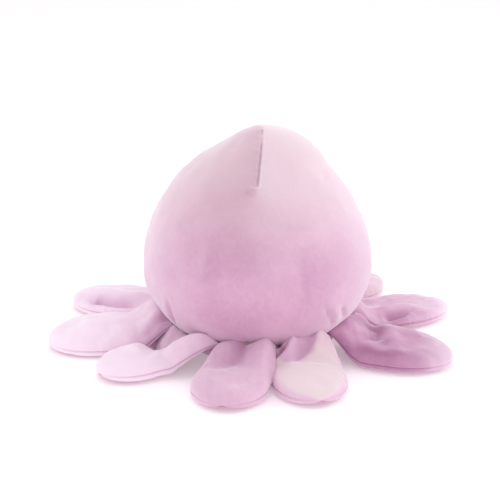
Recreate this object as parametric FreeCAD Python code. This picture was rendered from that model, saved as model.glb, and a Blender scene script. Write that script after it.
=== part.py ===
"""Octopus plush toy: a stuffed egg-shaped mantle on a ring of eight flat, lightly filled tentacles.

Frame: origin on the floor under the mantle's axis, +Z up, the mantle's plain back towards -Y and its
stitched face towards +Y. Lengths are in millimetres and angles in degrees. A tentacle's angle is counted
from -Y, turning towards +X.
"""

import FreeCAD
import Part
import math
import os

Vector = FreeCAD.Vector
UP = Vector(0, 0, 1)
ORIGIN = Vector(0, 0, 0)

# Cloth
CLOTH = 1.5                 # short-pile knit, backing and pile together
STITCH_RISE = 1.0           # satin stitch proud of the cloth

# Mantle: outer profile as (radius, height), from the base seam up to the apex
SEAM_RADIUS = 85.0
SEAM_HEIGHT = 24.0
APEX_HEIGHT = 218.0
MANTLE_PROFILE = [
    (SEAM_RADIUS, SEAM_HEIGHT), (97.0, 31.5), (104.5, 41.0), (110.5, 58.0), (112.5, 78.0), (111.0, 99.0),
    (106.0, 121.0), (97.5, 141.0), (85.5, 160.0), (70.0, 178.0), (51.5, 194.5), (31.0, 208.0), (0.0, APEX_HEIGHT),
]

# Base: a flat disc on the floor, rolled up to the seam
BASE_FLAT_RADIUS = 60.0
BASE_EDGE_HEIGHT = 20.0
SEAM_ALLOWANCE = 7.0        # width of the sewn edges inside the base seam

# Face
EYE_SPREAD = 38.0           # each eye's distance from the middle
EYE_HEIGHT = 86.0
EYE_HALF_WIDTH = 7.0
EYE_HALF_HEIGHT = 9.0
MOUTH_HEIGHT = 76.0         # centre of the smile's arc
MOUTH_RADIUS = 11.0
MOUTH_STITCH = 2.4          # width of the stitched line
MOUTH_SPAN = 110.0          # angle that the arc covers

# Tentacles
TENTACLE_COUNT = 8
TENTACLE_PITCH = 38.3       # angle from one root to the next; the face has the wide gap
RING_MIDDLE = 10.0          # angle of the middle of the ring of roots
ROOT_GAP = 2.5              # from the seam to the line that a tentacle turns about
ROOT_HALF_WIDTH = 24.0
ROOT_HALF_THICKNESS = 2.0
ROOT_HEIGHT = 22.0          # height of that line, half way between mantle edge and base edge
EDGE_HEIGHT = 7.0           # height of the side seam where a tentacle lies on the floor
CROWN = 13.0                # top panel's rise above its side seam
DESCENT = 27.0              # distance over which the root comes down to the floor
FILLED_FROM = 9.0           # distance from the root at which the filling starts
SPREAD = 0.45               # share of the length at which the sides reach full width
ROUND_END = 0.42            # share of the length that the round tip takes
BODY_SECTIONS = [0.0, 0.1, 0.22, 0.36, 0.5, 0.65, 0.85]     # shares of the way from root to round tip
TIP_SECTIONS = [0.0, 22.0, 42.0, 58.0, 70.0, 79.0]          # angles round the tip's ellipse

# Each tentacle's own lie: length, half width, lean at the root, and turn from root to tip (positive is
# towards growing angle)
LIE = [
    (126.0, 31.0, 7.0, 14.0),
    (118.0, 33.0, -2.0, 8.0),
    (90.0, 29.0, -14.0, 4.0),
    (88.0, 31.0, -10.0, 8.0),
    (86.0, 30.0, -18.0, 4.0),
    (112.0, 33.0, -8.0, 22.0),
    (116.0, 31.0, 2.0, 4.0),
    (104.0, 30.0, -6.0, -18.0),
]


def export(shape, name):
    """Write one node's STEP file."""
    shape.exportStep("parts/" + name + ".step")


def inset(points, distance):
    """Points of a profile moved towards its left-hand side, square to it, by a distance."""
    moved = []
    last = len(points) - 1
    for i, (r, z) in enumerate(points):
        (r0, z0), (r1, z1) = points[max(i - 1, 0)], points[min(i + 1, last)]
        run = math.hypot(r1 - r0, z1 - z0)
        moved.append((r - (z1 - z0) / run * distance, z + (r1 - r0) / run * distance))
    return moved


def curve_edge(points):
    """Smooth edge through (radius, height) points in the XZ plane."""
    curve = Part.BSplineCurve()
    curve.interpolate([Vector(r, 0, z) for r, z in points])
    return curve.toShape()


def line_edge(a, b):
    """Straight edge between (radius, height) points in the XZ plane."""
    return Part.makeLine(Vector(a[0], 0, a[1]), Vector(b[0], 0, b[1]))


def turned(edges, degrees=360.0, start=0.0):
    """Solid made by turning a closed outline in the XZ plane about Z, from a start angle."""
    face = Part.Face(Part.Wire(Part.__sortEdges__(edges)))
    face.rotate(ORIGIN, UP, start)
    return face.revolve(ORIGIN, UP, degrees)


def mantle_inner():
    """Profile of the cloth's inner side, ending on the axis."""
    points = inset(MANTLE_PROFILE, CLOTH)
    points[0] = (SEAM_RADIUS - CLOTH, SEAM_HEIGHT)
    points[-1] = (0.0, APEX_HEIGHT - CLOTH)
    return points


def base_arc(radius_cut):
    """Rolled edge of the base, as an edge from the flat to the seam, its radius cut by a cloth thickness."""
    run = SEAM_RADIUS - BASE_FLAT_RADIUS
    roll = (run ** 2 + BASE_EDGE_HEIGHT ** 2) / (2 * BASE_EDGE_HEIGHT)
    radius = roll - radius_cut
    sweep = math.asin((roll - BASE_EDGE_HEIGHT) / radius) + math.pi / 2

    def at(angle):
        return Vector(BASE_FLAT_RADIUS + radius * math.sin(angle), 0, roll - radius * math.cos(angle))

    return Part.Arc(at(0), at((math.pi - sweep) / 2), at(math.pi - sweep)).toShape()


def edge_end(edge):
    """Last point of an edge as (radius, height)."""
    point = edge.Vertexes[-1].Point
    return point.x, point.z


def mantle_panel(start, rise=0.0):
    """Half of the mantle's cover, from a start angle; a rise gives the layer of stitching on top of it."""
    outer = MANTLE_PROFILE if not rise else inset(MANTLE_PROFILE, -rise)
    inner = mantle_inner() if not rise else MANTLE_PROFILE
    if rise:
        outer[-1] = (0.0, APEX_HEIGHT + rise)
    edges = [curve_edge(outer), line_edge(outer[-1], inner[-1]), curve_edge(inner), line_edge(inner[0], outer[0])]
    return turned(edges, 180.0, start)


def base_panel():
    """Cloth disc under the toy, flat on the floor and rolled up to the seam."""
    outer, inner = base_arc(0), base_arc(CLOTH)
    edges = [
        outer, inner,
        line_edge(edge_end(outer), edge_end(inner)),
        line_edge((BASE_FLAT_RADIUS, 0), (0, 0)),
        line_edge((0, 0), (0, CLOTH)),
        line_edge((0, CLOTH), (BASE_FLAT_RADIUS, CLOTH)),
    ]
    return turned(edges)


def seam_ring():
    """Sewn edges of mantle, tentacles and base, turned inwards as one flat ring."""
    inner = SEAM_RADIUS - SEAM_ALLOWANCE
    ring = Part.makeCylinder(SEAM_RADIUS, SEAM_HEIGHT - BASE_EDGE_HEIGHT, Vector(0, 0, BASE_EDGE_HEIGHT))
    return ring.cut(Part.makeCylinder(inner, SEAM_HEIGHT, Vector(0, 0, 0)))


def mantle_stuffing(ring):
    """Fibre filling of mantle and base, round the inside of the sewn edges."""
    inner, roll = mantle_inner(), base_arc(CLOTH)
    edges = [
        curve_edge(inner), roll,
        line_edge(inner[0], edge_end(roll)),
        line_edge((BASE_FLAT_RADIUS, CLOTH), (0, CLOTH)),
        line_edge((0, CLOTH), inner[-1]),
    ]
    return turned(edges).cut(ring)


def stitched(outline):
    """Layer of satin stitch on the face, inside an outline drawn in the XZ plane."""
    block = Part.Face(outline).extrude(Vector(0, 2 * SEAM_RADIUS, 0))
    return block.common(mantle_panel(0.0, STITCH_RISE))


def eye(side):
    """Stitched oval eye; side is -1 or 1."""
    middle = Vector(side * EYE_SPREAD, 0, EYE_HEIGHT)
    oval = Part.Ellipse(middle + UP * EYE_HALF_HEIGHT, middle + Vector(EYE_HALF_WIDTH, 0, 0), middle)
    return stitched(Part.Wire(oval.toShape()))


def mouth():
    """Stitched smile, an arc below its centre with round ends."""
    centre = Vector(0, 0, MOUTH_HEIGHT)
    half = math.radians(MOUTH_SPAN / 2)

    def at(radius, angle):
        return centre + Vector(math.sin(angle), 0, -math.cos(angle)) * radius

    def cap(angle, away):
        tangent = Vector(math.cos(angle), 0, math.sin(angle)) * (away * MOUTH_STITCH / 2)
        ends = at(outer, angle), at(MOUTH_RADIUS, angle) + tangent, at(inner, angle)
        return Part.Arc(*ends).toShape()

    outer, inner = MOUTH_RADIUS + MOUTH_STITCH / 2, MOUTH_RADIUS - MOUTH_STITCH / 2
    arcs = [Part.Arc(at(r, -half), at(r, 0), at(r, half)).toShape() for r in (outer, inner)]
    edges = arcs + [cap(-half, -1), cap(half, 1)]
    return stitched(Part.Wire(Part.__sortEdges__(edges)))


def root_angle(number):
    """Angle of a tentacle's root, for tentacles numbered from 1."""
    return RING_MIDDLE + TENTACLE_PITCH * (number - (TENTACLE_COUNT + 1) / 2)


def smooth(share):
    """Ease from 0 to 1 with level ends."""
    share = min(max(share, 0.0), 1.0)
    return share * share * (3 - 2 * share)


def centre_line(lie, distance):
    """Point and heading at a distance along a tentacle's centre line, with x straight out from the root."""
    length, lean, turn = lie[0], lie[2], lie[3]
    x, y, steps = 0.0, 0.0, 40
    for i in range(steps):
        heading = math.radians(lean + turn * distance / length * (i + 0.5) / steps)
        x += math.cos(heading) * distance / steps
        y += math.sin(heading) * distance / steps
    return x, y, math.radians(lean + turn * distance / length)


def seam_height(distance):
    """Height of the side seam at a distance from the root."""
    return ROOT_HEIGHT + (EDGE_HEIGHT - ROOT_HEIGHT) * smooth(distance / DESCENT)


def section(lie, distance, taper, cut):
    """Closed outline of a tentacle's cross section, smaller all round by a cut."""
    length, half_width = lie[0], lie[1]
    x, y, heading = centre_line(lie, distance)
    heading *= min(1.0, distance / DESCENT)
    grown = smooth(distance / DESCENT)
    wide = ROOT_HALF_WIDTH + (half_width - ROOT_HALF_WIDTH) * smooth(distance / length / SPREAD)
    rise = ROOT_HALF_THICKNESS + (CROWN - ROOT_HALF_THICKNESS) * grown
    drop = ROOT_HALF_THICKNESS + (EDGE_HEIGHT - ROOT_HALF_THICKNESS) * grown
    wide, rise, drop = (wide - cut) * taper, (rise - cut) * taper, (drop - cut) * taper
    across = Vector(-math.sin(heading), math.cos(heading), 0)
    middle = Vector(SEAM_RADIUS + ROOT_GAP + x, y, seam_height(distance))
    outline = [
        (0.0, rise), (0.5, 0.87 * rise), (0.87, 0.5 * rise), (1.0, 0.0), (0.9, -0.72 * drop), (0.55, -0.99 * drop),
        (0.0, -drop), (-0.55, -0.99 * drop), (-0.9, -0.72 * drop), (-1.0, 0.0), (-0.87, 0.5 * rise),
        (-0.5, 0.87 * rise),
    ]
    curve = Part.BSplineCurve()
    curve.interpolate([middle + across * (wide * side) + UP * up for side, up in outline], PeriodicFlag=True)
    return Part.Wire(curve.toShape())


def pouch(lie, start, cut):
    """A tentacle's soft body from a start distance out, smaller all round by a cut."""
    length = lie[0]
    tip = ROUND_END * length
    straight = length - tip
    wires = [section(lie, start + (straight - start) * share, 1.0, cut) for share in BODY_SECTIONS]
    for angle in TIP_SECTIONS:
        along, taper = math.sin(math.radians(angle)), math.cos(math.radians(angle))
        wires.append(section(lie, straight + (tip - cut) * along, taper, cut))
    return Part.makeLoft(wires, True)


def above_seam(lie):
    """Block of space above a tentacle's side seam: level at the root, a slope, and level to the tip."""
    reach, top = lie[0] + ROOT_HALF_WIDTH, ROOT_HEIGHT + CROWN
    corners = [(-reach, ROOT_HEIGHT), (0.15 * DESCENT, ROOT_HEIGHT), (0.85 * DESCENT, EDGE_HEIGHT),
               (reach, EDGE_HEIGHT), (reach, top), (-reach, top)]
    outline = Part.makePolygon([Vector(x, -2 * reach, z) for x, z in corners + corners[:1]])
    block = Part.Face(outline).extrude(Vector(0, 4 * reach, 0))
    block.translate(Vector(SEAM_RADIUS + ROOT_GAP, 0, 0))
    return block


def tentacle(number):
    """Top panel, under panel and filling of one tentacle, in place."""
    lie = LIE[number - 1]
    filling = pouch(lie, FILLED_FROM, CLOTH)
    body = pouch(lie, 0.0, 0.0)
    upper = above_seam(lie)
    shapes = {
        "top_panel": body.common(upper).cut(filling),
        "under_panel": body.cut(upper).cut(filling),
        "filling": filling,
    }
    for shape in shapes.values():
        shape.rotate(ORIGIN, UP, root_angle(number) - 90)
    return shapes


def main():
    os.makedirs("parts", exist_ok=True)
    ring = seam_ring()
    export(mantle_panel(180.0), "mantle_back_panel")
    export(mantle_panel(0.0), "mantle_front_panel")
    export(base_panel(), "base_panel")
    export(ring, "base_seam_ring")
    export(mantle_stuffing(ring), "mantle_stuffing")
    export(eye(1), "eye_stitching_right")
    export(eye(-1), "eye_stitching_left")
    export(mouth(), "mouth_stitching")
    for number in range(1, TENTACLE_COUNT + 1):
        for piece, shape in tentacle(number).items():
            export(shape, f"tentacle_{number}_{piece}")
            print(number, piece, shape.isValid(), len(shape.Solids), round(shape.Volume))


main()
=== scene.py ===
# Plush octopus: a stuffed velour mantle on a ring of eight flat tentacles.
# Lengths are in millimetres until a mesh is made, except in the studio, which is in metres.
import math
import bpy
import numpy as np
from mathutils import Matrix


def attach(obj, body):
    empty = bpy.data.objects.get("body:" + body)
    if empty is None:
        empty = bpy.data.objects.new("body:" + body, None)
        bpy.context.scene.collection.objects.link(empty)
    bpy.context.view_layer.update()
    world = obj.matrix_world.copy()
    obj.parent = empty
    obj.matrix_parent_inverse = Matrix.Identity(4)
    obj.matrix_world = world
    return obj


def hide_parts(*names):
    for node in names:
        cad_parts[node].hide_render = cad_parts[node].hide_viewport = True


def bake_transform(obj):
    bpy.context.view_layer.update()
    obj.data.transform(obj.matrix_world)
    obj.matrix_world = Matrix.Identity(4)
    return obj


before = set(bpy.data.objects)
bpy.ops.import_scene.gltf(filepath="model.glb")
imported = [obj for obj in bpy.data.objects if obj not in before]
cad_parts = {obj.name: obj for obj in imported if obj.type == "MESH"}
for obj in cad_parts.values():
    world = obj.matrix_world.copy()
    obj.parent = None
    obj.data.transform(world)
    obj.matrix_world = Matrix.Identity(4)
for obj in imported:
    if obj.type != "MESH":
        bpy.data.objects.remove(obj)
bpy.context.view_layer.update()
print("frame loaded:", len(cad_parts), "nodes")

mm = 0.001
creaseEnds = {"reach": 0.3, "least": 0.25}  # share of its length over which a crease fades, and what is left


def ease(x):
    # 0 to 1 with level ends: 3x^2 - 2x^3
    x = np.clip(x, 0.0, 1.0)
    return x * x * (3.0 - 2.0 * x)


def smoothLine(points, shares):
    # natural cubic spline through points, by chord length, read at shares 0..1 of the whole length
    pts = np.asarray(points, float)
    chord = np.concatenate([[0.0], np.cumsum(np.linalg.norm(np.diff(pts, axis=0), axis=1))])
    h = np.diff(chord)
    n = len(pts)
    a = np.zeros((n, n))
    b = np.zeros((n, pts.shape[1]))
    a[0, 0] = a[-1, -1] = 1.0
    inner = np.arange(1, n - 1)
    a[inner, inner - 1] = h[:-1]
    a[inner, inner] = 2.0 * (h[:-1] + h[1:])
    a[inner, inner + 1] = h[1:]
    slope = np.diff(pts, axis=0) / h[:, None]
    b[1:-1] = 6.0 * np.diff(slope, axis=0)
    m = np.linalg.solve(a, b)
    at = np.clip(np.asarray(shares, float), 0.0, 1.0) * chord[-1]
    k = np.clip(np.searchsorted(chord, at, side="right") - 1, 0, n - 2)
    t0 = (at - chord[k])[..., None]
    t1 = (chord[k + 1] - at)[..., None]
    hk = h[k][..., None]
    return (m[k] * t1 ** 3 + m[k + 1] * t0 ** 3) / (6.0 * hk) \
        + (pts[k] / hk - m[k] * hk / 6.0) * t1 + (pts[k + 1] / hk - m[k + 1] * hk / 6.0) * t0


def ripples(points, size, seed, waves=22, stretch=(1.0, 1.0, 1.0)):
    # soft uneven field from -1 to 1: a sum of sine waves of about one size in seeded directions
    rng = np.random.default_rng(seed)
    turns = rng.normal(size=(waves, 3))
    turns /= np.linalg.norm(turns, axis=1)[:, None]
    turns = turns / np.asarray(stretch) * (2.0 * math.pi / size) * rng.uniform(0.7, 1.5, (waves, 1))
    phase = rng.uniform(0.0, 2.0 * math.pi, waves)
    spread = 1.4 * math.sqrt(waves)  # keeps most values within -1 to 1
    return np.sin(points @ turns.T + phase).sum(-1) / spread


def nearLine(points, line):
    # distance to a line of points, and the share of the line's length where the nearest spot lies
    line = np.asarray(line, float)
    reach = np.concatenate([[0.0], np.cumsum(np.linalg.norm(np.diff(line, axis=0), axis=1))])
    best = np.full(points.shape[:-1], 1e9)
    share = np.zeros(points.shape[:-1])
    for i in range(len(line) - 1):
        run = line[i + 1] - line[i]
        t = np.clip(((points - line[i]) @ run) / (run @ run), 0.0, 1.0)
        gap = np.linalg.norm(points - line[i] - t[..., None] * run, axis=-1)
        nearer = gap < best
        best = np.where(nearer, gap, best)
        share = np.where(nearer, (reach[i] + t * (reach[i + 1] - reach[i])) / reach[-1], share)
    return best, share


def crease(points, line, width, depth):
    # a valley (negative) or ridge (positive) along a line: depth * exp(-(gap / width)^2), fading at both ends
    gap, share = nearLine(points, line)
    ends = ease(np.minimum(share, 1.0 - share) / creaseEnds["reach"])
    return depth * np.exp(-(gap / width) ** 2) * (creaseEnds["least"] + (1.0 - creaseEnds["least"]) * ends)


def faceDirections(points):
    # unit normals of a grid of points, from its two directions
    du = np.gradient(points, axis=0)
    dv = np.gradient(points, axis=1)
    n = np.cross(du, dv)
    return n / np.maximum(np.linalg.norm(n, axis=-1, keepdims=True), 1e-12)


def addMesh(name, verts, faces, tones=None):
    # smooth-shaded piece from points and faces, with each tone as a number on every point
    mesh = bpy.data.meshes.new(name)
    mesh.from_pydata((verts * mm).tolist(), [], faces)
    for key, values in (tones or {}).items():
        mesh.attributes.new(key, "FLOAT", "POINT").data.foreach_set("value", values.astype(np.float32))
    mesh.polygons.foreach_set("use_smooth", np.ones(len(mesh.polygons), bool))
    mesh.update()
    piece = bpy.data.objects.new(name, mesh)
    bpy.context.scene.collection.objects.link(piece)
    return piece


def ringGrid(name, grid, startPole, endPole, tones=None):
    # rows of closed rings from one pole to the other: quads between rings, triangles at the poles
    rows, cols = grid.shape[:2]
    index = np.arange(rows * cols).reshape(rows, cols)
    right = np.roll(index, -1, axis=1)
    quads = np.stack([index[:-1], right[:-1], right[1:], index[1:]], -1).reshape(-1, 4)
    first, last = rows * cols, rows * cols + 1
    startFan = np.stack([np.full(cols, first), right[0], index[0]], -1)
    endFan = np.stack([np.full(cols, last), index[-1], right[-1]], -1)
    verts = np.concatenate([grid.reshape(-1, 3), [startPole], [endPole]])
    faces = quads.tolist() + startFan.tolist() + endFan.tolist()
    if tones:
        tones = {k: np.concatenate([v.reshape(-1), [v[0].mean()], [v[-1].mean()]]) for k, v in tones.items()}
    return addMesh(name, verts, faces, tones)


def upsample(coarse, step, rows, cols):
    # values on every step-th row and column of a ring grid, carried linearly to the whole grid,
    # with each ring's last column joined to its first
    at = np.arange(rows) / step
    i = np.minimum(at.astype(int), len(coarse) - 2)
    t = (at - i)[:, None, None]
    tall = coarse[i] * (1.0 - t) + coarse[i + 1] * t
    at = np.arange(cols) / step
    j = at.astype(int)
    t = (at - j)[None, :, None]
    return tall[:, j % tall.shape[1]] * (1.0 - t) + tall[:, (j + 1) % tall.shape[1]] * t


def filled(name, grid, poles, held, sewn, values):
    # how far each point of a sewn cloth bag moves when it is filled: cloth with pressure inside,
    # a little more of it in the panels than along the seams (sewn), and some held where it was (held)
    step = values["step"]
    small = grid[::step, ::step]
    bag = ringGrid(name + "Bag", small, *poles)
    count = small.shape[0] * small.shape[1]
    for key, weights in (("held", held), ("sewn", sewn)):
        group = bag.vertex_groups.new(name=key)
        atPoles = [weights[0].mean(), weights[-1].mean()]
        weights = np.concatenate([weights[::step, ::step].reshape(-1), atPoles])
        for level in range(1, 11):
            picked = np.flatnonzero(np.round(weights * 10.0) == level)
            group.add(picked.tolist(), level / 10.0, "REPLACE")
    cloth = bag.modifiers.new("cloth", "CLOTH").settings
    cloth.quality = values["quality"]
    cloth.mass = values["mass"]
    cloth.tension_stiffness = cloth.compression_stiffness = values["stretch"]
    cloth.shear_stiffness = values["shear"]
    cloth.bending_stiffness = values["bending"]
    cloth.use_pressure = True
    cloth.uniform_pressure_force = values["pressure"]
    cloth.effector_weights.gravity = 0.0
    cloth.vertex_group_mass = "held"
    cloth.vertex_group_shrink = "sewn"
    cloth.shrink_min = -values["spare"]
    cloth.shrink_max = 0.0
    scene = bpy.context.scene
    for f in range(1, values["frames"] + 1):
        scene.frame_set(f)
    swollen = bag.evaluated_get(bpy.context.evaluated_depsgraph_get()).data
    places = np.empty(len(swollen.vertices) * 3)
    swollen.vertices.foreach_get("co", places)
    moved = places.reshape(-1, 3)[:count].reshape(small.shape) / mm - small
    mesh = bag.data
    bpy.data.objects.remove(bag)
    bpy.data.meshes.remove(mesh)
    scene.frame_set(1)
    size = np.linalg.norm(moved, axis=-1, keepdims=True)
    print(name, "filled: moved", round(float(size.mean()), 2), "mm, most", round(float(size.max()), 2))
    moved *= values["most"] * np.tanh(size / values["most"]) / np.maximum(size, 1e-9)
    for _ in range(values["smooth"]):
        near = np.roll(moved, 1, axis=1) + np.roll(moved, -1, axis=1)
        tall = np.concatenate([moved[:1], moved[:-1]]) + np.concatenate([moved[1:], moved[-1:]])
        moved = 0.5 * moved + 0.125 * (near + tall)
    return upsample(moved, step, *grid.shape[:2])


def link(tree, a, b):
    tree.links.new(a, b)


def attributeNode(tree, name):
    node = tree.nodes.new("ShaderNodeAttribute")
    node.attribute_name = name
    return node.outputs["Fac"]


def noiseNode(tree, coords, scale, detail=2.0, rough=0.5, distortion=0.0):
    node = tree.nodes.new("ShaderNodeTexNoise")
    node.inputs["Scale"].default_value = scale
    node.inputs["Detail"].default_value = detail
    node.inputs["Roughness"].default_value = rough
    node.inputs["Distortion"].default_value = distortion
    link(tree, coords, node.inputs["Vector"])
    return node.outputs["Fac"]


def clampNode(tree, value):
    node = tree.nodes.new("ShaderNodeClamp")
    link(tree, value, node.inputs["Value"])
    return node.outputs[0]


def rampNode(tree, value, stops):
    # stops: lowest and highest value in, then the two values out
    node = tree.nodes.new("ShaderNodeMapRange")
    node.interpolation_type = "SMOOTHSTEP"
    node.inputs["From Min"].default_value, node.inputs["From Max"].default_value = stops[0], stops[1]
    node.inputs["To Min"].default_value, node.inputs["To Max"].default_value = stops[2], stops[3]
    link(tree, value, node.inputs["Value"])
    return node.outputs["Result"]


def mathNode(tree, operation, a, b):
    node = tree.nodes.new("ShaderNodeMath")
    node.operation = operation
    for socket, value in ((node.inputs[0], a), (node.inputs[1], b)):
        if hasattr(value, "is_output"):
            link(tree, value, socket)
        else:
            socket.default_value = value
    return node.outputs[0]


def mixNode(tree, share, a, b, blend="MIX"):
    node = tree.nodes.new("ShaderNodeMix")
    node.data_type = "RGBA"
    node.blend_type = blend
    link(tree, share, node.inputs["Factor"])
    colourInputs = [s for s in node.inputs if s.type == "RGBA"]
    for socket, value in zip(colourInputs, (a, b)):
        if hasattr(value, "is_output"):
            link(tree, value, socket)
        else:
            socket.default_value = (*value, 1.0)
    return [s for s in node.outputs if s.type == "RGBA"][0]


def velour(name, values):
    # short pile: broad patches of nap, brushed streaks and clumps of fibre in the colour, and clumps as bump;
    # the piece's tones add painted light and shade to the colour: painted shading mixed with the nap, a
    # painted sheen tone, a painted highlight tone and a painted shade
    material = bpy.data.materials.new(name)
    material.use_nodes = True
    tree = material.node_tree
    shader = tree.nodes["Principled BSDF"]
    coords = tree.nodes.new("ShaderNodeTexCoord").outputs["Object"]
    broad = noiseNode(tree, coords, values["broadScale"], 2.0, 0.5, 0.6)
    broad = rampNode(tree, broad, (0.3, 0.7, -0.5, 0.5))
    streaks = noiseNode(tree, coords, values["streakScale"], 3.0, 0.6, 1.5)
    streaks = rampNode(tree, streaks, (0.32, 0.68, -0.5, 0.5))
    clumps = noiseNode(tree, coords, values["clumpScale"], 2.0, 0.65, 0.4)
    fibres = noiseNode(tree, coords, values["fibreScale"], 2.0, 0.7, 0.0)
    # level = 0.5 + broad + streaks + clumps + the nap tone (nap with painted light and shade), from the deep
    # tone at 0 to the light one at 1
    level = mathNode(tree, "MULTIPLY_ADD", broad, values["broad"])
    level.node.inputs[2].default_value = 0.5
    level = mathNode(tree, "ADD", level, mathNode(tree, "MULTIPLY", streaks, values["streaks"]))
    pile = mathNode(tree, "MULTIPLY", mathNode(tree, "SUBTRACT", clumps, 0.5), values["clumps"])
    level = mathNode(tree, "ADD", level, pile)
    # the nap tone carries painted light and shade as well as the nap
    level = mathNode(tree, "ADD", level, attributeNode(tree, "nap"))
    colour = mixNode(tree, clampNode(tree, level), values["deep"], values["light"])
    # painted sheen: a greyish cream tone mixed in where the sheen would lighten the pile
    colour = mixNode(tree, attributeNode(tree, "paintedSheen"), colour, values["paintedSheen"])
    # painted highlight: a pale tone mixed in where light falls brightest
    colour = mixNode(tree, attributeNode(tree, "paintedHighlight"), colour, values["paintedHighlight"])
    # painted shade: the colour multiplied darker at roots, in seams, creases and under edges
    colour = mixNode(tree, attributeNode(tree, "shade"), colour, values["shaded"], "MULTIPLY")
    link(tree, colour, shader.inputs["Base Color"])
    bump = tree.nodes.new("ShaderNodeBump")
    bump.inputs["Strength"].default_value = values["bump"]
    bump.inputs["Distance"].default_value = values["pileDepth"] * mm
    height = mathNode(tree, "ADD", clumps, mathNode(tree, "MULTIPLY", fibres, 0.5))
    link(tree, height, bump.inputs["Height"])
    link(tree, bump.outputs["Normal"], shader.inputs["Normal"])
    shader.inputs["Roughness"].default_value = values["roughness"]
    shader.inputs["Specular IOR Level"].default_value = values["specular"]
    shader.inputs["Sheen Weight"].default_value = values["sheen"]
    shader.inputs["Sheen Roughness"].default_value = values["sheenRoughness"]
    shader.inputs["Sheen Tint"].default_value = (*values["sheenTint"], 1.0)
    return material


velourValues = {
    "deep": (0.48, 0.22, 0.385),
    "light": (0.78, 0.50, 0.655),
    # the three tones below are the painted sheen, painted highlight and painted shade colours
    "paintedSheen": (0.74, 0.62, 0.60),
    "paintedHighlight": (0.97, 0.84, 0.955),
    "shaded": (0.52, 0.24, 0.44),
    "broad": 0.26, "streaks": 0.12, "clumps": 0.22,
    "broadScale": 16.0, "streakScale": 95.0, "clumpScale": 900.0, "fibreScale": 2800.0,  # per metre
    "bump": 0.30, "pileDepth": 0.45,
    "roughness": 0.9, "specular": 0.10,
    "sheen": 1.0, "sheenRoughness": 0.5, "sheenTint": (1.0, 0.95, 0.99),
}
lilac = velour("lilac_velour", velourValues)
rose = velour("rose_velour", {**velourValues, "deep": (0.44, 0.22, 0.34), "light": (0.76, 0.50, 0.63)})


threadValues = {"dark": (0.012, 0.006, 0.012), "light": (0.05, 0.03, 0.05), "scale": 700.0,
                "roughness": 0.38, "specular": 0.4, "sheen": 0.15}


def thread(name, values):
    # dark embroidery thread, unevenly lighter; its ridges are in the mesh
    material = bpy.data.materials.new(name)
    material.use_nodes = True
    tree = material.node_tree
    shader = tree.nodes["Principled BSDF"]
    coords = tree.nodes.new("ShaderNodeTexCoord").outputs["Object"]
    uneven = noiseNode(tree, coords, values["scale"], 2.0, 0.6, 0.0)
    colour = mixNode(tree, uneven, values["dark"], values["light"])
    link(tree, colour, shader.inputs["Base Color"])
    shader.inputs["Roughness"].default_value = values["roughness"]
    shader.inputs["Specular IOR Level"].default_value = values["specular"]
    shader.inputs["Sheen Weight"].default_value = values["sheen"]
    return material


eyeThread = thread("dark_thread", threadValues)
print("materials ready")


mantle = {
    "profile": [(0.0, 217.4), (9.0, 216.9), (16.0, 214.9), (29.0, 209.0), (46.0, 197.5), (67.0, 180.0),
                (83.5, 160.0), (96.0, 140.0), (104.8, 120.0), (110.0, 100.0), (111.5, 79.0), (107.7, 59.0),
                (100.5, 44.5), (93.5, 35.0), (86.5, 28.5)],
    "rows": 250, "columns": 360, "backShare": 0.55, "side": 0.8,
    "leanTop": 8.5, "leanFrom": 170.0, "leanTo": 205.0,
    "leanBack": 4.0, "leanBackFrom": 207.0, "leanBackTo": 219.0,
    "lumps": 0.6, "lumpSize": 66.0, "smallLumps": 0.35, "smallLumpSize": 24.0,
    "gather": 0.7, "gatherSize": 15.0, "gatherHeight": 24.0, "gatherReach": 17.0, "edgeRadius": 85.0,
    "seamDepth": 1.1, "seamWidth": 1.4, "seamBack": 26.0, "seamBackFrom": 110.0, "seamBackOver": 70.0,
    "pinch": 0.35, "pinchWidth": 6.0, "pinchTurn": 0.75,
    "dart": [(5.0, 217.1), (4.0, 208.0), (2.7, 198.0), (1.4, 188.0), (0.0, 179.0)],
    "dartDepth": 3.4, "dartWidth": 0.85, "dartValley": 1.3, "dartValleyWidth": 6.0,
    "dartLip": 0.7, "dartLipAt": 2.4, "dartLipWidth": 1.0,
    "tuck": 0.28, "tuckTurn": 46.0, "tuckWidth": 5.0, "tuckFrom": 0.5,
    "underEdge": [(86.5, 28.5), (84.0, 27.4), (79.0, 28.0), (40.0, 30.0), (4.0, 30.0)], "underRows": 14,
}


def mantleLean(z):
    # sideways shift of the mantle's middle: grows towards the top, and comes part of the way back at the apex
    v = mantle
    return v["side"] + v["leanTop"] * ease((z - v["leanFrom"]) / (v["leanTo"] - v["leanFrom"])) \
        - v["leanBack"] * ease((z - v["leanBackFrom"]) / (v["leanBackTo"] - v["leanBackFrom"]))


def mantlePlace(x, z, side):
    # spot on the plain mantle at a sideways place and height, on the back (-1) or the face (1)
    line = smoothLine(mantle["profile"], np.linspace(0.0, 1.0, 800))[::-1]
    r = np.interp(z, line[:, 1], line[:, 0])
    across = np.asarray(x, float) - mantleLean(np.asarray(z, float))
    return np.stack([np.asarray(x, float), side * np.sqrt(np.maximum(r * r - across * across, 0.0)),
                     np.asarray(z, float)], -1)


def mantleLumps(points):
    # slow bumps of the filling with smaller ones on them
    v = mantle
    return v["lumps"] * ripples(points, v["lumpSize"], 3) \
        + v["smallLumps"] * ripples(points, v["smallLumpSize"], 4)


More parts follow.
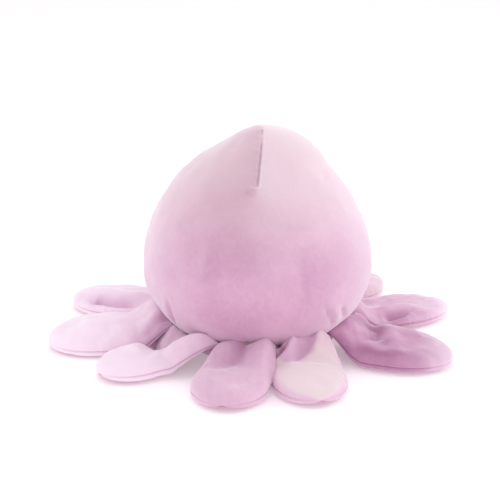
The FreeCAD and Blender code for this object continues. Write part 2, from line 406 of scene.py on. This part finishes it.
def dartGroove(grid):
    # narrow groove in a wider valley, with a lip along each side and small tucks that the stitches pull in
    v = mantle
    gap, along = nearLine(grid, mantlePlace(*np.array(v["dart"]).T, -1))
    groove = v["dartLip"] * np.exp(-((gap - v["dartLipAt"]) / v["dartLipWidth"]) ** 2) \
        - v["dartDepth"] * np.exp(-(gap / v["dartWidth"]) ** 2) \
        - v["dartValley"] * np.exp(-(gap / v["dartValleyWidth"]) ** 2)
    tucks = np.sin(along * v["tuckTurn"] + ripples(grid, 9.0, 8)) * np.exp(-(gap / v["tuckWidth"]) ** 2)
    ends = np.minimum(ease((along + 0.15) / 0.2), ease((1.04 - along) / 0.1))
    return (groove + v["tuck"] * tucks * (gap > v["tuckFrom"])) * ends


def sideSeams(grid, r, z):
    # groove where the two panels meet, further to the face side near the top, with pinched cloth beside it
    v = mantle
    gap = np.abs(grid[..., 1] - v["seamBack"] * ease((z - v["seamBackFrom"]) / v["seamBackOver"]))
    groove = -v["seamDepth"] * np.exp(-(gap / v["seamWidth"]) ** 2) * ease((r - 3.0) / 12.0)
    pinches = v["pinch"] * np.exp(-(gap / v["pinchWidth"]) ** 2) \
        * np.sin(z * v["pinchTurn"] + 2.0 * ripples(grid, 18.0, 9))
    return groove + pinches * ease((r - 10.0) / 20.0)


# painted light and shade on the mantle: lighter top, darker low, lighter right side, painted sheen and
# highlights at the sides, and a lit and a shaded side across the dart
mantleTones = {
    "paintedTopLight": 0.12, "paintedLowShade": 0.16, "paintedSideLight": 0.05,
    "paintedDartStep": 0.24, "stepWidth": 1.2, "stepWidthBelow": 16.0,
    "paintedSheenTop": 0.62, "paintedSheenRim": 0.10, "paintedSheenStep": 0.2,
    "paintedRimHighlight": 0.34, "paintedTopHighlight": 0.05, "paintedStepHighlight": 0.8,
    "shadeStep": 1.3, "shadeEdge": 0.75, "shadeLow": 0.12,
}


def paintMantle(grid, turn):
    # painted light and shade by height (lighter top, darker low and at the lower edge), painted sheen and
    # painted highlight near the sides (rim),
    # one side painted lighter, and a painted step across the dart on the back, lit on its right and shaded on
    # its left:
    # step = the dart step's size * reach * tanh(beside / sharp) * (0.3 + 0.7 exp(-|beside| / 45))
    v = mantleTones
    high = grid[..., 2]
    rim = np.abs(turn / math.pi * 2.0) + 0.0 * high
    rim = ease((1.0 - np.abs(rim - 1.0)) * 1.15 - 0.25)
    onBack = ease(0.5 - grid[..., 1] / 30.0)
    beside = (grid[..., 0] - np.interp(high, [179.0, 217.0], [0.0, 4.8])) * onBack
    reach = ease((high - 90.0) / 75.0)
    sharp = v["stepWidth"] + v["stepWidthBelow"] * ease((182.0 - high) / 26.0)
    step = v["paintedDartStep"] * reach * np.tanh(beside / sharp) * (0.3 + 0.7 * np.exp(-np.abs(beside) / 45.0))
    # the lit side (right of the dart) and the shaded side (left of it) of the painted step
    litSide, shadedSide = np.maximum(step, 0.0), np.maximum(-step, 0.0)
    # painted light on the top and the right side, painted shade low down
    nap = v["paintedTopLight"] * ease((high - 90.0) / 100.0) - v["paintedLowShade"] * ease((85.0 - high) / 60.0) \
        + v["paintedSideLight"] * np.sin(turn) * ease((high - 60.0) / 80.0)
    # painted sheen tone on the top and sides, less on the lit side of the dart
    paintedSheen = v["paintedSheenTop"] * ease((high - 95.0) / 110.0) + v["paintedSheenRim"] * rim - v["paintedSheenStep"] * litSide
    # painted highlight at the sides, on the top and on the lit side of the dart
    paintedHighlight = v["paintedRimHighlight"] * rim * (1.0 - 0.6 * ease((high - 110.0) / 70.0)) \
        + v["paintedTopHighlight"] * ease((high - 150.0) / 60.0) + v["paintedStepHighlight"] * litSide
    # painted shade on the shaded side of the dart, at the lower edge over the tentacles and low down
    shade = v["shadeStep"] * shadedSide + v["shadeEdge"] * ease((33.5 - high) / 5.0) \
        + v["shadeLow"] * ease((60.0 - high) / 30.0)
    return {"nap": nap, "paintedSheen": paintedSheen, "paintedHighlight": paintedHighlight, "shade": shade}


def makeMantle():
    # profile turned about the axis, with the top leaning; then pushed in and out along its own normals
    v = mantle
    line = smoothLine(v["profile"], np.linspace(0.0, 1.0, v["rows"] + 1)[1:])
    turn = np.linspace(-math.pi, math.pi, v["columns"], endpoint=False)
    turn = turn - v["backShare"] * np.sin(turn)  # more columns on the back
    r, z = line[:, :1], line[:, 1:]
    grid = np.stack([r * np.sin(turn) + mantleLean(z), -r * np.cos(turn), z + 0.0 * turn], -1)
    out = faceDirections(np.concatenate([grid[:, -1:], grid, grid[:, :1]], axis=1))[:, 1:-1]
    out *= np.sign((out * (grid - [0.0, 0.0, 100.0])).sum(-1).mean())
    edge = np.stack([np.sin(turn), np.cos(turn), 0.0 * turn], -1) * v["edgeRadius"]
    gathers = v["gather"] * np.exp(-((z - v["gatherHeight"]) / v["gatherReach"]) ** 2) \
        * ripples(edge, v["gatherSize"], 5)[None, :]
    push = mantleLumps(grid) + gathers + dartGroove(grid) + sideSeams(grid, r, z)
    for place, width, depth in mantleCreases:
        push += crease(grid, mantlePlace(*np.array(place).T, -1), width, depth)
    grid = grid + out * (push * ease(r / 4.0))[..., None]
    under = smoothLine(v["underEdge"], np.linspace(0.0, 1.0, v["underRows"])[1:])
    reach, high = under[:, :1], under[:, 1:]
    inner = np.stack([reach * np.sin(turn), -reach * np.cos(turn), high + 0.0 * turn], -1)
    grid = np.concatenate([grid, inner])
    apex = [float(mantleLean(np.array(219.0))), 0.0, v["profile"][0][1] + 0.1]
    return ringGrid("mantle", grid, apex, [0.0, 0.0, v["underEdge"][-1][1]], paintMantle(grid, turn))


# creases on the back: (sideways, height) points, width, depth
mantleCreases = [
    ([(-7.5, 178.0), (-2.5, 175.8), (4.5, 177.6)], 1.7, 1.9),
    ([(-11.0, 175.2), (-5.0, 172.2), (-1.0, 171.6)], 2.6, -1.7),
    ([(0.5, 179.0), (6.0, 174.0), (8.0, 168.0)], 3.0, -0.5),
    ([(-84.0, 72.0), (-81.0, 54.0), (-76.0, 38.0)], 2.2, -2.8),
    ([(-87.0, 66.0), (-85.5, 52.0), (-81.0, 40.0)], 3.6, 1.4),
    ([(62.0, 70.0), (68.0, 57.0), (72.0, 42.0)], 3.0, -3.2),
    ([(69.0, 70.0), (76.0, 52.0)], 4.0, 1.8),
    ([(79.0, 64.0), (83.5, 46.0)], 2.8, -3.0),
    ([(-10.0, 45.0), (-6.0, 30.0)], 4.0, -0.7),
    ([(30.0, 46.0), (38.0, 30.0)], 4.0, -0.8),
    ([(-45.0, 48.0), (-47.0, 30.0)], 4.0, -0.8),
    ([(-12.0, 213.0), (-18.0, 207.0), (-27.0, 199.0)], 7.0, -1.3),
    ([(60.0, 182.0), (66.0, 174.0)], 8.0, -1.2),
]

mantlePiece = makeMantle()
mantlePiece.data.materials.append(lilac)
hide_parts("mantle_back_panel", "mantle_front_panel", "mantle_stuffing")
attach(mantlePiece, "mantle")
print("mantle made")


base = {
    "profile": [(0.5, 0.0), (30.0, 0.0), (58.0, 0.2), (70.0, 3.6), (79.0, 10.5), (84.5, 20.0), (85.6, 25.0),
                (82.0, 27.0), (40.0, 28.0), (0.5, 28.0)],
    "rows": 90, "columns": 288,
    "gather": 0.7, "gatherSize": 13.0, "gatherAt": 80.0, "gatherReach": 9.0, "edgeRadius": 82.0,
    "nap": -0.12, "shade": 0.2,
}


def makeBase():
    # low profile turned about the axis: flat in the middle, rolled up to the seam, with small gathers
    v = base
    line = smoothLine(v["profile"], np.linspace(0.0, 1.0, v["rows"]))[::-1]
    turn = np.linspace(0.0, 2.0 * math.pi, v["columns"], endpoint=False)
    r, z = line[:, :1], np.maximum(line[:, 1:], 0.0)
    grid = np.stack([r * np.sin(turn), -r * np.cos(turn), z + 0.0 * turn], -1)
    edge = np.stack([np.sin(turn), np.cos(turn), 0.0 * turn], -1) * v["edgeRadius"]
    nearEdge = np.exp(-((r - v["gatherAt"]) / v["gatherReach"]) ** 2)
    lift = v["gather"] * nearEdge * ripples(edge, v["gatherSize"], 21)
    grid = grid * (1.0 + (lift / 85.0)[..., None] * np.array([1.0, 1.0, 0.0]))
    even = np.ones(grid.shape[:2])
    tones = {"nap": v["nap"] * even, "paintedSheen": 0.0 * even, "paintedHighlight": 0.0 * even, "shade": v["shade"] * even}
    return ringGrid("base", grid, [0.0, 0.0, 28.0], [0.0, 0.0, 0.0], tones)


basePiece = makeBase()
basePiece.data.materials.append(rose)
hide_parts("base_panel", "base_seam_ring")
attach(basePiece, "mantle")
print("base made")


ring = {"pitch": 38.3, "middle": 10.0, "count": 8, "radius": 84.0, "height": 25.5}

# each crease has (along, across) points, a width and a depth; a shade has a tone instead of the depth:
# painted shade below 0, painted highlight above 0; flatten takes a share of the crown away near its line
# each tentacle's tone numbers set painted light and shade: the nap tone lighter or darker, a painted sheen
# tone, and painted highlights on top and at the tip
tentacles = {
    1: {
        "length": 127.0, "half": 35.0, "lean": 11.0, "turn": 14.0, "crown": 15.0, "roll": (0, 0),
        "root": (-28, 28), "nap": 0.2, "paintedSheen": 0.0, "paintedHighlight": 0.75, "streak": 0.06, "seed": 11,
        "creases": [
            ([(112, 12), (97, 19), (74, 22), (50, 21), (37, 18)], 6.5, -9.0),
            ([(106, 2), (84, 5), (56, 7), (34, 8)], 8.0, 4.0),
            ([(50, -6), (30, -4), (14, 2)], 5.0, -2.0),
        ],
        "shade": [
            ([(106, 14), (94, 20), (72, 22), (50, 20)], 7.0, -0.45),
            ([(100, 16), (92, 20)], 5.0, -0.25),
        ],
    },
    2: {
        "length": 121.0, "half": 37.0, "lean": 4.5, "turn": 4.5, "crown": 18.0, "roll": (0, 0),
        "root": (-28, 33), "nap": 0.25, "paintedSheen": 0.0, "paintedHighlight": 0.8, "streak": 0.05, "seed": 12,
        "creases": [
            ([(4, 27), (18, 28), (34, 32)], 5.0, -3.5),
            ([(56, -36), (48, -26), (36, -22)], 4.0, -3.0),
            ([(40, -30), (28, -22), (14, -20)], 7.0, 3.0),
            ([(60, 4), (92, 2)], 18.0, 2.0),
        ],
        "shade": [
            ([(4, 26), (18, 28), (36, 31)], 7.0, -0.45),
        ],
    },
    3: {
        "length": 96.0, "half": 32.0, "lean": -22.0, "turn": 17.0, "crown": 14.0, "roll": (8, 2),
        "root": (-24, 41), "flare": (-1, 20.0, 14.0, 8.0), "nap": 0.2, "paintedSheen": 0.05, "paintedHighlight": 0.75,
        "streak": 0.04, "seed": 13,
        "flatten": [
            ([(0, 12), (8, 6), (20, -8), (24, -22)], 19.0, 0.88),
        ],
        "creases": [
            ([(2, 36), (14, 31), (27, 24), (40, 19)], 6.0, 5.5),
            ([(8, 22), (18, 14), (30, 6)], 4.0, -3.0),
            ([(26, -36), (29, -20), (31, -6)], 3.0, -5.0),
            ([(38, -22), (50, -12), (64, -8)], 9.0, 3.5),
        ],
        "shade": [
            ([(3, 12), (14, 2), (24, -16)], 16.0, -0.34),
            ([(26, -34), (30, -10)], 2.0, -0.5),
        ],
    },
    4: {
        "length": 88.5, "half": 36.5, "lean": -5.5, "turn": 6.0, "crown": 15.0, "roll": (4, 0),
        "root": (-16, 32), "nap": 0.02, "paintedSheen": 0.05, "paintedHighlight": 0.15, "streak": 0.08, "seed": 14,
        "creases": [
            ([(2, 25), (9, 24), (22, 27), (42, 28)], 5.5, 5.0),
            ([(3, 8), (12, 7), (24, 2), (36, -6)], 7.5, -6.5),
            ([(10, -12), (24, -22), (44, -22)], 9.0, 2.5),
            ([(56, 20), (70, 4)], 8.0, -1.5),
        ],
        "shade": [
            ([(4, 8), (14, 7), (26, 2)], 8.0, -0.4),
        ],
    },
    5: {
        "length": 88.0, "half": 35.0, "lean": -24.0, "turn": 12.0, "crown": 14.0, "roll": (0, 0),
        "root": (-24, 31), "nap": -0.02, "paintedSheen": 0.85, "paintedHighlight": 0.25, "streak": 0.05, "seed": 15,
        "paintedSheenFrom": [(-36, 30), (-26, 25), (-16, 37), (0, 28), (12, 20), (22, 8), (36, 0)],
        "creases": [
            ([(0, -21), (8, -21), (15, -26)], 3.4, -10.0),
            ([(14, -14), (20, -21), (24, -29)], 3.2, -7.0),
            ([(1, -13), (8, -13), (17, -10), (25, -14), (26, -22)], 3.6, 5.5),
            ([(13, 11), (22, 5), (28, -6), (30, -16)], 4.5, -4.5),
            ([(2, 22), (12, 18), (20, 12)], 5.0, 5.0),
            ([(40, -26), (44, -6), (40, 12)], 9.0, 2.0),
        ],
        "shade": [
            ([(12, 8), (22, 2), (24, -8)], 5.0, -0.3),
            ([(0, -22), (8, -22)], 4.0, -0.7),
            ([(14, -17), (20, -22)], 3.0, -0.5),
        ],
    },
    6: {
        "length": 115.0, "half": 35.0, "lean": -6.5, "turn": 22.0, "crown": 17.0, "roll": (0, 0),
        "root": (-26, 22), "nap": -0.36, "paintedSheen": 0.0, "paintedHighlight": 0.0, "streak": 0.2, "seed": 16,
        "paintedTipHighlight": 0.45,
        "creases": [
            ([(22, 6), (31, 9), (42, 5), (44, -6), (32, -14)], 5.5, -3.6),
            ([(48, 18), (56, 4), (62, -10)], 7.0, 3.0),
            ([(22, -16), (36, -4)], 6.0, 3.0),
            ([(30, 20), (58, 16), (86, 10)], 11.0, 4.0),
            ([(2, 0), (13, 2)], 2.8, -4.0),
            ([(2, 10), (15, 13)], 2.8, -4.0),
            ([(2, 20), (15, 24)], 2.8, -3.5),
            ([(2, -10), (12, -10)], 2.4, -2.5),
        ],
        "shade": [
            ([(22, 6), (32, 9), (43, 5), (44, -4)], 7.0, -0.4),
            ([(50, 16), (60, -8)], 8.0, 0.3),
            ([(20, -26), (50, -30), (90, -24)], 5.0, -0.45),
            ([(16, -18), (36, -6)], 7.0, 0.3),
        ],
    },
    7: {
        "length": 123.0, "half": 32.5, "lean": 2.5, "turn": 4.0, "crown": 12.5, "roll": (0, 0),
        "root": (-28, 28), "nap": 0.02, "paintedSheen": 0.0, "paintedHighlight": 0.15, "streak": 0.1, "seed": 17,
        "paintedTipHighlight": 0.5,
        "creases": [
            ([(38, -25), (56, -23), (72, -20)], 4.5, -7.5),
            ([(36, -12), (58, -12), (84, -12)], 6.0, 4.0),
            ([(20, 4), (44, 6), (70, 2)], 8.0, -2.5),
        ],
        "shade": [
            ([(42, -27), (56, -26), (68, -25)], 7.0, -0.7),
            ([(20, 4), (36, 0)], 12.0, -0.18),
        ],
    },
    8: {
        "length": 107.0, "half": 33.0, "lean": -8.0, "turn": -17.0, "crown": 16.0, "roll": (0, 0),
        "root": (-28, 28), "nap": 0.1, "paintedSheen": 0.45, "paintedHighlight": 0.2, "streak": 0.05, "seed": 18,
        "creases": [
            ([(40, 6), (80, 2)], 8.0, -2.5),
        ],
    },
}

pouch = {
    "rows": 151, "around": 198, "rootThick": 1.8, "crownReach": 24.0, "spread": 0.42, "roundEnd": 0.44,
    "rootLift": 3.5, "rootReach": 48.0, "shoulder": 4.5, "shoulderAt": 13.0, "shoulderReach": 9.0,
    "descent": 34.0, "seamHeight": 8.4, "drop": 7.8, "seamShare": 0.55,
    "seamGroove": 1.3, "seamWidth": 0.9, "pucker": 0.30, "puckerPitch": 9.0,
    "wrinkle": 0.5, "wrinkleSize": 20.0, "fineWrinkle": 0.15, "fineWrinkleSize": 9.0,
    "tiltReach": 30.0, "bowReach": 40.0, "floorGap": 0.15,
}

filling = {
    "step": 3, "frames": 20, "quality": 6, "mass": 0.02, "stretch": 12.0, "shear": 4.0, "bending": 2.0,
    "pressure": 3.0, "spare": 0.02, "most": 4.0, "smooth": 4,
    "rootFree": (3.0, 14.0), "floorHold": 0.8, "seamHold": 0.5,
}


def rootAngle(k):
    return math.radians(ring["middle"] + ring["pitch"] * (k - (ring["count"] + 1) / 2))


def centreLine(v, along):
    # arc whose heading goes evenly from the lean to the lean plus the turn, summed in small steps
    fine = np.linspace(0.0, v["length"], 400)
    heading = np.radians(v["lean"] + v["turn"] * fine / v["length"])
    step = fine[1] - fine[0]
    x = np.concatenate([[0.0], np.cumsum((np.cos(heading[1:]) + np.cos(heading[:-1])) / 2 * step)])
    y = np.concatenate([[0.0], np.cumsum((np.sin(heading[1:]) + np.sin(heading[:-1])) / 2 * step)])
    return np.interp(along, fine, x), np.interp(along, fine, y), np.interp(along, fine, heading)


def pouchSurface(v, p):
    # two panels sewn along the side, on a grid along the centre line and round it (phi):
    # across = -cos(phi) half widths,
    # height = crown * sin(phi)^0.85 above the seam and -drop * (-sin(phi))^0.5 below it
    tip = p["roundEnd"] * v["length"]
    straight = v["length"] - tip
    body = np.linspace(0.0, 1.0, int(p["rows"] * 0.5), endpoint=False) * straight
    angle = np.linspace(0.0, math.pi / 2, p["rows"] - len(body) + 1)[:-1]
    along = np.concatenate([body, straight + tip * np.sin(angle)])[:, None]
    taper = np.concatenate([np.ones(len(body)), np.cos(angle)])[:, None]
    phi = np.linspace(0.0, 2.0 * math.pi, p["around"], endpoint=False)[None, :]
    phi = phi - p["seamShare"] * 0.5 * np.sin(2.0 * phi)  # more columns near the seam
    across, up = -np.cos(phi), np.sin(phi)
    rootHalf, rootMiddle = (v["root"][1] - v["root"][0]) / 2, (v["root"][1] + v["root"][0]) / 2
    wide = (rootHalf + (v["half"] - rootHalf) * ease(along / v["length"] / p["spread"])) * taper
    middle = rootMiddle * (1.0 - ease(along / p["rootReach"]))
    flareSide, flareAt, flareReach, flareWide = v.get("flare", (0, 0.0, 1.0, 0.0))
    flare = flareWide * np.exp(-((along - flareAt) / flareReach) ** 2) * ease(along / 6.0)
    wide, middle = wide + flare / 2, middle + flareSide * flare / 2
    flat = np.stack([along + 0.0 * phi, middle + wide * across, 0.0 * along + 0.0 * phi], -1)
    crown = p["rootThick"] + (v["crown"] - p["rootThick"]) * ease(along / p["crownReach"])
    crown = crown + p["shoulder"] * np.exp(-((along - p["shoulderAt"]) / p["shoulderReach"]) ** 2)
    crown = crown * taper ** 0.75
    for line, width, share in v.get("flatten", []):
        crown = crown * (1.0 - share * np.exp(-(nearLine(flat[..., :2], line)[0] / width) ** 4))
    drop = (p["rootThick"] + (p["drop"] - p["rootThick"]) * ease(along / p["descent"])) * taper ** 0.6
    height = np.where(up >= 0.0, crown * np.maximum(up, 0.0) ** 0.85, -drop * np.maximum(-up, 0.0) ** 0.5)
    return along, taper, across, up, wide, middle, flat, height


def pouchWrinkles(v, p, flat, up, taper):
    # uneven filling and the creases, on the top panel only
    uneven = ripples(flat, p["wrinkleSize"], v["seed"], stretch=(1.3, 0.8, 1.0))
    lift = v["crown"] / 14.0 * p["wrinkle"] * uneven
    lift += p["fineWrinkle"] * ripples(flat, p["fineWrinkleSize"], v["seed"] + 40)
    for line, width, depth in v["creases"]:
        lift += crease(flat[..., :2], line, width, depth)
    return lift, lift * ease(up * 1.6) * ease(taper * 1.5)


def paintTentacle(v, flat, along, up, taper, height, lift):
    # tones: painted light outwards, nap in streaks, painted shade at the root, in the seam, underneath and in
    # crease valleys, painted light on ridges, with its own painted shade and highlight spots, and painted
    # sheen and highlights on top
    onTop = ease((up + 0.75) * 2.2)
    outer = ease(along / v["length"] * 1.5)
    tip = ease((along / v["length"] - 0.66) * 3.0)
    # painted light outwards and on ridges, painted shade underneath and in crease valleys
    nap = (0.16 * outer - 0.10 + v["nap"]) * onTop - 0.10 * (1.0 - onTop) + 0.02 * lift
    nap = nap + v["streak"] * ripples(flat, 13.0, v["seed"] + 90, stretch=(3.0, 0.8, 1.0))
    inSeam = np.exp(-(height / 0.7) ** 2) * taper
    # painted shade at the root, in the seam and underneath
    shade = 0.8 * (1.0 - ease(along / 7.0)) + 0.45 * inSeam + 0.25 * (1.0 - onTop)
    # spots: painted highlight above 0 goes to the nap tone, painted shade below 0 to the shade
    for line, width, depth in v.get("shade", []):
        spot = crease(flat[..., :2], line, width, depth) * onTop
        nap = nap + np.maximum(spot, 0.0)
        shade = shade - np.minimum(spot, 0.0)
    # painted sheen tone on top, growing outwards
    paintedSheen = v["paintedSheen"] * onTop * ease(0.35 + outer) + 0.0 * nap
    # the painted sheen only beyond its listed edge and on the upper part
    if "paintedSheenFrom" in v:
        edge = np.array(v["paintedSheenFrom"], float)
        paintedSheen = paintedSheen * ease((along - np.interp(flat[..., 1], edge[:, 0], edge[:, 1])) / 5.0 + 0.5)
        paintedSheen = paintedSheen * ease((up - 0.2) * 2.0)
    # painted highlight on top, growing outwards, and at the tip
    paintedHighlight = v["paintedHighlight"] * onTop * (0.35 + 0.65 * outer) + v.get("paintedTipHighlight", 0.0) * tip * onTop + 0.0 * nap
    return {"nap": nap, "paintedSheen": paintedSheen, "paintedHighlight": paintedHighlight, "shade": np.clip(shade, 0.0, 1.0)}


def makeTentacle(k):
    # the pouch's surface with wrinkles and a puckered seam, bent along its centre line and laid on the floor,
    # turned to its place on the ring, then filled
    v, p = tentacles[k], pouch
    along, taper, across, up, wide, middle, flat, height = pouchSurface(v, p)
    lift, liftOnTop = pouchWrinkles(v, p, flat, up, taper)
    height = height + liftOnTop
    nearSeam = np.exp(-(height / p["seamWidth"]) ** 2)
    scallop = np.sin(2.0 * math.pi * along / p["puckerPitch"] + 2.6 * ripples(flat, 26.0, v["seed"] + 60)) \
        * ease(0.5 + 0.8 * ripples(flat, 45.0, v["seed"] + 80)) * p["pucker"]
    sideways = 0.6 * scallop * np.exp(-(up / 0.35) ** 2) - p["seamGroove"] * nearSeam
    height = height + 0.7 * scallop * np.exp(-((np.abs(up) - 0.3) / 0.25) ** 2) * taper
    side = (wide + sideways * taper) * across
    x, y, heading = centreLine(v, along)
    heading = heading * np.minimum(1.0, along / p["tiltReach"])
    rootRoll, tipRoll = v["roll"]
    roll = np.radians(rootRoll * ease(along / 30.0) + (tipRoll - rootRoll) * ease(along / v["length"]))
    b = middle + side * np.cos(roll) - height * np.sin(roll)
    bow = -(b * b) / (2.0 * ring["radius"]) * (1.0 - ease(along / p["bowReach"]))
    px = ring["radius"] + x - np.sin(heading) * b + bow
    py = y + np.cos(heading) * b
    rootSeam = ring["height"] + p["rootLift"] * ease(along / 8.0)
    seam = rootSeam + (p["seamHeight"] - ring["height"] - p["rootLift"]) * ease((along - 4.0) / p["descent"])
    pz = seam + side * np.sin(roll) + height * np.cos(roll)
    pz = 0.5 * (pz - 0.3 + np.sqrt((pz - 0.3) ** 2 + 1.0)) + 0.25  # soft landing on the floor
    pz = np.maximum(pz, p["floorGap"])
    turn = rootAngle(k) - math.pi / 2
    cos, sin = math.cos(turn), math.sin(turn)
    grid = np.stack([px * cos - py * sin, px * sin + py * cos, pz], -1)
    rootFrom, rootOver = filling["rootFree"]
    atRoot = 1.0 - ease((along - rootFrom) / rootOver)
    atFloor = filling["floorHold"] * ease((3.0 - pz) / 2.5)
    sewn = np.exp(-(up / 0.25) ** 2) + 0.0 * along
    held = np.maximum(np.maximum(atRoot + 0.0 * pz, atFloor), filling["seamHold"] * sewn)
    grid = grid + filled(f"tentacle{k}", grid, (grid[0].mean(0), grid[-1].mean(0)), held, sewn, filling)
    grid[..., 2] = np.maximum(grid[..., 2], p["floorGap"])
    tones = paintTentacle(v, flat, along, up, taper, height, lift)
    tones = {key: tone[:, ::-1] for key, tone in tones.items()}
    return ringGrid(f"tentacle{k}", grid[:, ::-1], grid[0].mean(0), grid[-1].mean(0), tones)


for k in tentacles:
    piece = makeTentacle(k)
    piece.data.materials.append(lilac)
    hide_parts(*[f"tentacle_{k}_{part}" for part in ("top_panel", "under_panel", "filling")])
    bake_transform(piece)
print("tentacles made")


face = {
    "eyeSpread": 38.0, "eyeHeight": 86.0, "eyeHalf": (7.0, 9.0), "eyeRise": 1.5,
    "smileHeight": 76.0, "smileRadius": 11.0, "smileSpan": 110.0, "smileWidth": 2.4, "smileRise": 1.1,
    "threadPitch": 0.55, "threadDepth": 0.13, "threadSlant": 0.35, "sink": 1.6,
}


def faceSkin(x, z):
    # spots on the soft mantle's face side at sideways place x and height z, and the way out from it there
    spot = mantlePlace(x, z, 1)
    right = mantlePlace(x + 0.5, z, 1) - spot
    above = mantlePlace(x, z + 0.5, 1) - spot
    out = np.cross(above, right)
    out /= np.linalg.norm(out, axis=-1, keepdims=True)
    return spot + out * mantleLumps(spot)[..., None], out


def stitchEye(name, middle):
    # padded satin stitch: an oval dome with slanted threads as small ridges, its edge tucked into the cloth;
    # high = eyeRise * (1 - share^2)^0.35 + threadDepth * |sin(pi * slant / threadPitch)|
    v = face
    share = np.concatenate([np.linspace(0.02, 1.0, 44), [1.03, 0.9, 0.5]])[:, None]
    angle = np.linspace(0.0, 2.0 * math.pi, 260, endpoint=False)[None, :]
    x = middle + share * v["eyeHalf"][0] * np.cos(angle)
    z = v["eyeHeight"] + share * v["eyeHalf"][1] * np.sin(angle)
    dome = np.sqrt(np.clip(1.0 - np.minimum(share, 1.0) ** 2, 0.0, 1.0)) ** 0.7
    uneven = 0.15 * ripples(np.stack([x, z, 0.0 * x], -1), 5.0, 51)
    slant = (z - v["eyeHeight"]) + v["threadSlant"] * (x - middle) + uneven
    ridge = np.abs(np.sin(math.pi * slant / v["threadPitch"]))
    high = v["eyeRise"] * dome + v["threadDepth"] * ridge * (share < 1.0)
    high[-3:] = np.array([-0.5, -1.0, -v["sink"]])[:, None]
    spot, out = faceSkin(x, z)
    grid = spot + out * high[..., None]
    return ringGrid(name, grid, grid[0].mean(0), grid[-1].mean(0))


def stitchSmile(name):
    # satin stitch along an arc: a flattened round cord with threads across it, half sunk in the cloth
    v = face
    reach = math.radians(v["smileSpan"] / 2)
    turn = np.linspace(-reach, reach, 300)[:, None]
    around = np.linspace(0.0, 2.0 * math.pi, 28, endpoint=False)[None, :]
    run = (turn + reach) * v["smileRadius"]
    ends = np.clip(np.minimum(run, run[::-1]) / (v["smileWidth"] / 2), 0.0, 1.0)
    blunt = np.sqrt(np.clip(1.0 - (1.0 - ends) ** 2, 0.02, 1.0))
    ridge = np.abs(np.sin(math.pi * (run + 0.3 * np.cos(around)) / v["threadPitch"]))
    radius = v["smileRadius"] + v["smileWidth"] / 2 * blunt * np.cos(around)
    x = radius * np.sin(turn)
    z = v["smileHeight"] - radius * np.cos(turn)
    high = v["smileRise"] * blunt * np.sin(around) + v["threadDepth"] * ridge * (np.sin(around) > 0.0) * blunt
    spot, out = faceSkin(x, z)
    grid = spot + out * high[..., None]
    return ringGrid(name, grid, grid[0].mean(0), grid[-1].mean(0))


for piece, node in ((stitchEye("eyeRight", face["eyeSpread"]), "eye_stitching_right"),
                    (stitchEye("eyeLeft", -face["eyeSpread"]), "eye_stitching_left"),
                    (stitchSmile("smile"), "mouth_stitching")):
    piece.data.materials.append(eyeThread)
    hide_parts(node)
    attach(piece, "mantle")
print("face made")


studio = {
    "floorSize": 40.0, "floorColour": (0.95, 0.895, 0.915),
    "floorGlow": (1.0, 0.98, 0.99), "floorGlowStrength": 0.24,
    "world": (1.0, 0.985, 1.0), "worldStrength": 0.63, "rimStrength": 1.05,
    "aim": (0.0, 0.0, 0.08),
    "lights": [
        ("leftLight", (-1.7, 0.2, 1.0), 1.3, 6.5),
        ("rightLight", (1.7, 0.2, 1.0), 1.3, 8.5),
        ("frontLight", (0.5, -1.7, 1.4), 1.0, 4.7),
        ("topLight", (0.0, 0.3, 2.2), 1.8, 9.0),
    ],
    "camera": (-0.0065, -1.2858, 0.5606), "cameraTilt": 70.0, "lens": 100.8,
}


def makeFloor():
    bpy.ops.mesh.primitive_plane_add(size=studio["floorSize"], location=(0.0, 0.0, 0.0))
    floor = bpy.context.object
    floor.name = "floor"
    material = bpy.data.materials.new("white_floor")
    material.use_nodes = True
    shader = material.node_tree.nodes["Principled BSDF"]
    shader.inputs["Base Color"].default_value = (*studio["floorColour"], 1.0)
    shader.inputs["Roughness"].default_value = 0.6
    shader.inputs["Specular IOR Level"].default_value = 0.2
    shader.inputs["Emission Color"].default_value = (*studio["floorGlow"], 1.0)
    shader.inputs["Emission Strength"].default_value = studio["floorGlowStrength"]
    floor.data.materials.append(material)


def makeStudio():
    # a sky that is brighter near the horizon, and four round soft lights aimed at the toy
    makeFloor()
    world = bpy.data.worlds.new("studio")
    world.use_nodes = True
    tree = world.node_tree
    background = tree.nodes["Background"]
    background.inputs["Color"].default_value = (*studio["world"], 1.0)
    height = tree.nodes.new("ShaderNodeSeparateXYZ")
    link(tree, tree.nodes.new("ShaderNodeTexCoord").outputs["Generated"], height.inputs[0])
    level = rampNode(tree, height.outputs["Z"], (0.05, 0.75, studio["rimStrength"], studio["worldStrength"]))
    link(tree, level, background.inputs["Strength"])
    bpy.context.scene.world = world
    for name, place, size, watts in studio["lights"]:
        light = bpy.data.lights.new(name, "AREA")
        light.shape, light.size, light.energy = "DISK", size, watts
        lamp = bpy.data.objects.new(name, light)
        lamp.location = place
        aim = np.array(studio["aim"]) - np.array(place)
        tilt = math.atan2(math.hypot(aim[0], aim[1]), -aim[2])
        lamp.rotation_euler = (tilt, 0.0, math.atan2(aim[1], aim[0]) - math.pi / 2)
        bpy.context.scene.collection.objects.link(lamp)


def makeCamera():
    camera = bpy.data.objects.new("camera", bpy.data.cameras.new("camera"))
    camera.location = studio["camera"]
    camera.rotation_euler = (math.radians(studio["cameraTilt"]), 0.0, 0.0)
    camera.data.sensor_width = 36.0
    camera.data.lens = studio["lens"]
    bpy.context.scene.collection.objects.link(camera)
    bpy.context.scene.camera = camera


makeStudio()
makeCamera()
bpy.context.scene.view_settings.view_transform = "Standard"
print("studio ready")
